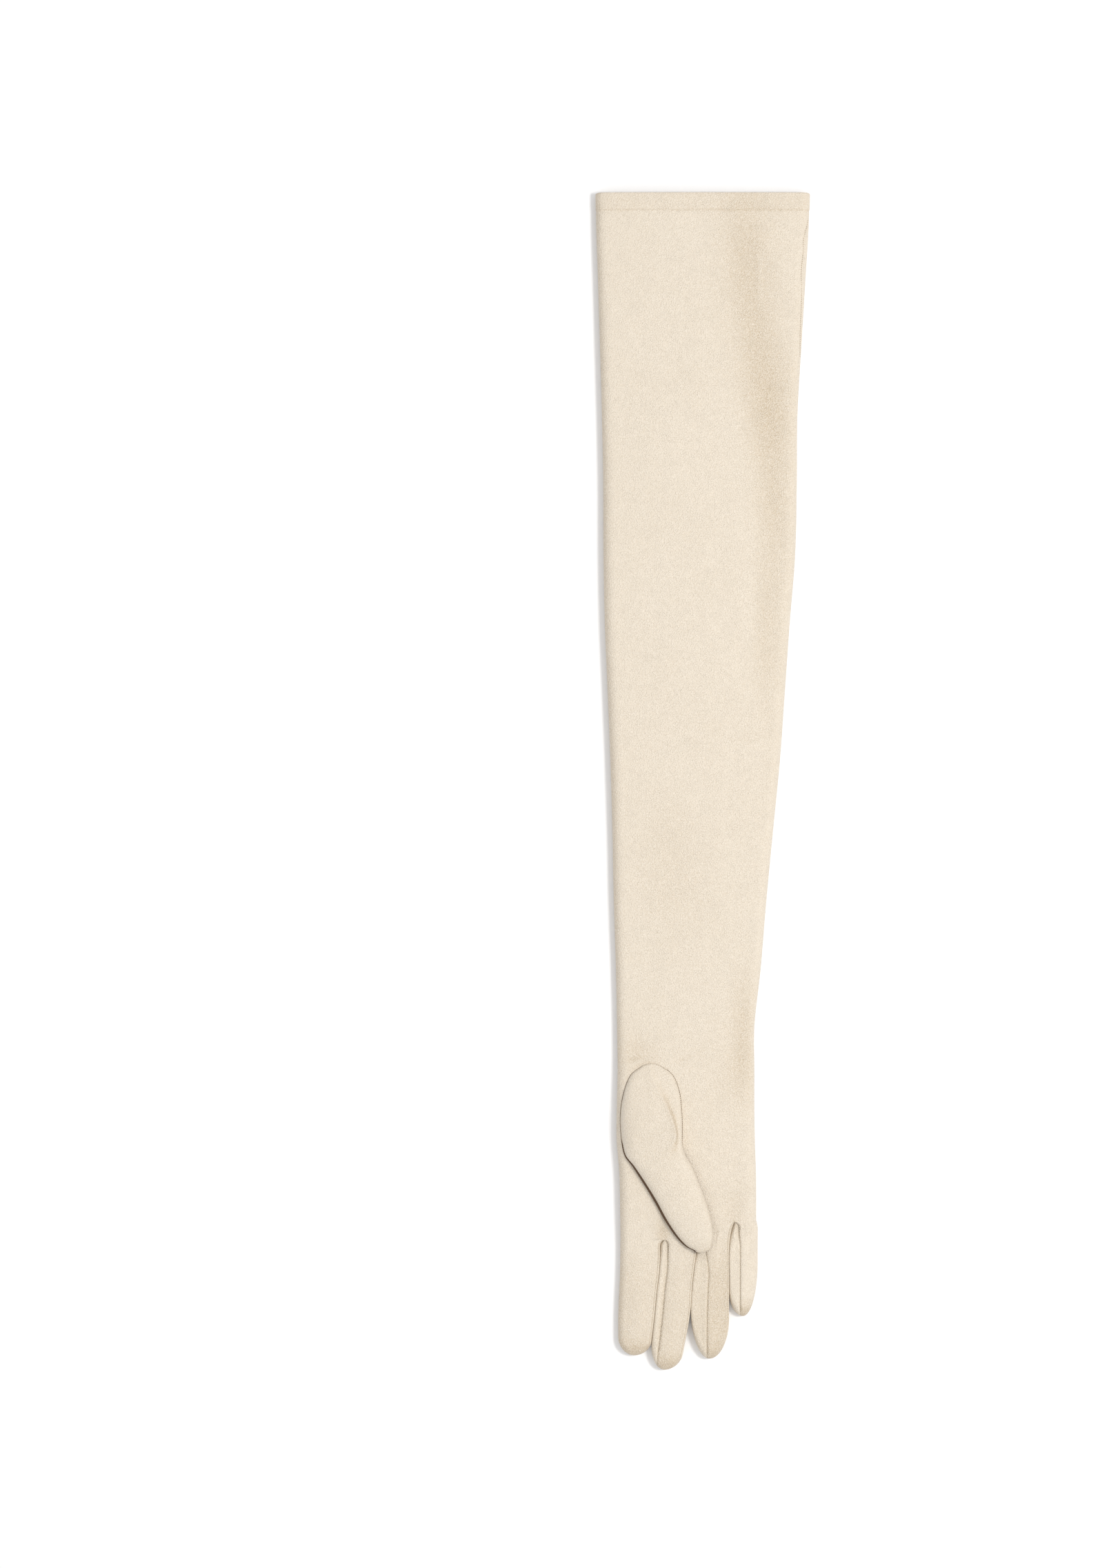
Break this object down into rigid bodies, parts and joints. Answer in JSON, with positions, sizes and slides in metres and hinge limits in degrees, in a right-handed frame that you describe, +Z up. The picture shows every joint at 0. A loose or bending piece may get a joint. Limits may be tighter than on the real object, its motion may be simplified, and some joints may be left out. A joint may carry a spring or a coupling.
{
  "type": "long leather glove",
  "caption": "Long plain leather evening glove for the right hand, lying flat with its palm up: hollow sleeve and fingers, a set-in thumb, forks between the fingers and a turned-in hem.",
  "frame": {"origin": "on the surface that the glove lies on, below the middle of its box", "axes": "+Y runs from the fingertips to the cuff, +X to the little finger's side, +Z up out of the palm"},
  "size_m": [0.1274, 0.701, 0.0228],
  "materials": {
    "leather": "fine-grained cream glove leather with a soft low sheen",
    "fork_leather": "the same cream leather, a shade darker where the forks fold in",
    "hem_leather": "matt flesh side of the cream leather, turned in"
  },
  "bodies": {
    "root": {"trank": "leather", "thumb": "leather", "fourchette_index_middle": "fork_leather", "fourchette_middle_ring": "fork_leather", "fourchette_ring_little": "fork_leather", "cuff_hem": "hem_leather"}
  },
  "joints": []
}
